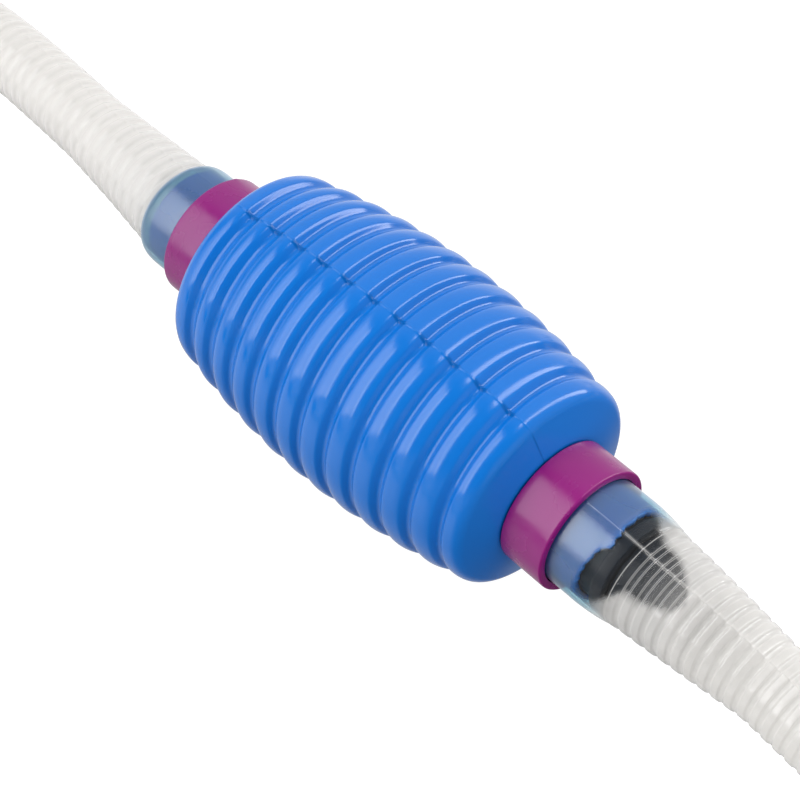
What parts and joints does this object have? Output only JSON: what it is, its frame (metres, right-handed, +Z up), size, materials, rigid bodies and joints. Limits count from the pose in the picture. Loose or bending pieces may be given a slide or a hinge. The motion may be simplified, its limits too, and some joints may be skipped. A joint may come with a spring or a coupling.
{
  "type": "gravel vacuum siphon",
  "caption": "Aquarium gravel vacuum siphon: a blue bellows squeeze bulb with ball check valves and clamp rings between clear ribbed hoses, ending in a wide clear gravel tube.",
  "frame": {"origin": "centre of the squeeze bulb on its own axis, which is also the middle of the whole siphon as it is laid out; the floor the siphon lies on is at z = -0.032", "axes": "+X along the bulb the way the water flows, from inlet to outlet; +Z up; +Y to the left looking along the flow"},
  "size_m": [0.5437, 0.4381, 0.0641],
  "materials": {
    "bulb_blue": "soft blow-moulded plastic, glossy, slightly translucent at the edges",
    "ring_magenta": "satin injection-moulded plastic",
    "clear_hose": "flexible clear plastic, milky, glossy ribs",
    "clear_tube": "rigid clear plastic, polished",
    "cap_blue": "satin injection-moulded plastic",
    "valve_black": "black moulded plastic, semi-gloss",
    "valve_seal": "matt rubber",
    "valve_ball": "smooth hollow-sounding plastic ball"
  },
  "bodies": {
    "inlet_side": {"squeeze_bulb": "bulb_blue", "inlet_hose": "clear_hose", "inlet_valve_seat": "valve_black", "inlet_valve_cage": "valve_black", "inlet_valve_oring": "valve_seal"},
    "outlet_side": {"outlet_hose": "clear_hose", "outlet_valve_seat": "valve_black", "outlet_valve_cage": "valve_black", "outlet_valve_oring": "valve_seal"},
    "inlet_ball": {"inlet_valve_ball": "valve_ball"},
    "outlet_ball": {"outlet_valve_ball": "valve_ball"},
    "inlet_ring": {"inlet_clamp_ring": "ring_magenta"},
    "outlet_ring": {"outlet_clamp_ring": "ring_magenta"},
    "nozzle_ring": {"nozzle_clamp_ring": "ring_magenta"},
    "nozzle": {"nozzle_cap": "cap_blue", "intake_strainer": "cap_blue"},
    "tube": {"gravel_tube": "clear_tube"}
  },
  "joints": [
    {"name": "pump_stroke", "type": "slide", "parent": "inlet_side", "child": "outlet_side", "axis": [-1, 0, 0], "range_m": [0, 0.011], "stiffness_N_per_m": 1500, "deforming": ["squeeze_bulb"]},
    {"name": "inlet_ball_lift", "type": "slide", "parent": "inlet_side", "child": "inlet_ball", "axis": [1, 0, 0], "range_m": [0, 0.0045]},
    {"name": "outlet_ball_lift", "type": "slide", "parent": "outlet_side", "child": "outlet_ball", "axis": [0.9994, -0.0349, 0], "range_m": [0, 0.0045]},
    {"name": "inlet_ring_slide", "type": "slide", "parent": "inlet_side", "child": "inlet_ring", "axis": [-1, 0, 0], "range_m": [0, 0.012]},
    {"name": "outlet_ring_slide", "type": "slide", "parent": "outlet_side", "child": "outlet_ring", "axis": [0.9994, -0.0349, 0], "range_m": [0, 0.014]},
    {"name": "nozzle_ring_slide", "type": "slide", "parent": "inlet_side", "child": "nozzle_ring", "axis": [-1, 0, 0], "range_m": [0, 0.014]},
    {"name": "nozzle_swivel", "type": "hinge", "parent": "inlet_side", "child": "nozzle", "pos_m": [-0.155, -0.198, -0.011], "axis": [1, 0, 0], "continuous": true},
    {"name": "gravel_tube_pull", "type": "slide", "parent": "nozzle", "child": "tube", "axis": [1, 0, 0], "range_m": [0, 0.03]}
  ]
}
